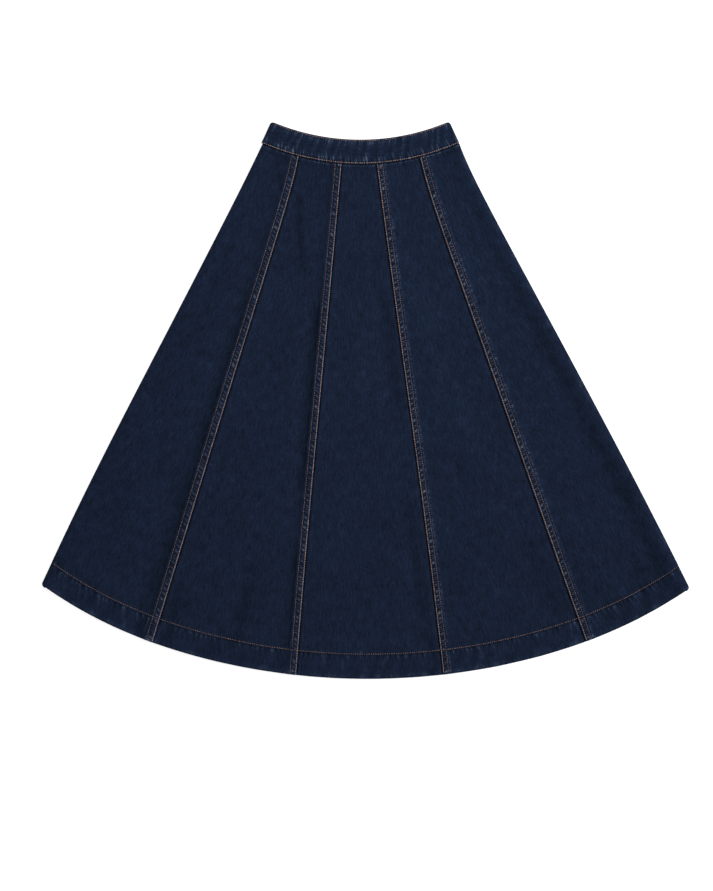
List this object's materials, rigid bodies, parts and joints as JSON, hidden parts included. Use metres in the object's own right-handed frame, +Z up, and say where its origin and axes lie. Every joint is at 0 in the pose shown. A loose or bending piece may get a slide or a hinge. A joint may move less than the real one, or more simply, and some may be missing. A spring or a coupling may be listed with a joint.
{
  "type": "denim skirt",
  "caption": "Gored A-line midi skirt in dark denim with a plain pull-on waistband, topstitched seams and a turned-up hem, laid flat front up.",
  "frame": {"origin": "on the surface the skirt lies on, under the middle of its box", "axes": "+X to the right as the front is seen, +Y from the hem to the waist, +Z up from the surface"},
  "size_m": [1.0353, 0.891, 0.0073],
  "materials": {
    "denim": "dark indigo twill, rinsed, matt",
    "topstitch": "copper-brown sewing thread, slight sheen"
  },
  "bodies": {
    "root": {"front_side_gore_left": "denim", "front_gore_left": "denim", "front_gore_centre": "denim", "front_gore_right": "denim", "front_side_gore_right": "denim", "back_side_gore_left": "denim", "back_gore_left": "denim", "back_gore_centre": "denim", "back_gore_right": "denim", "back_side_gore_right": "denim", "waistband": "denim"}
  },
  "joints": []
}
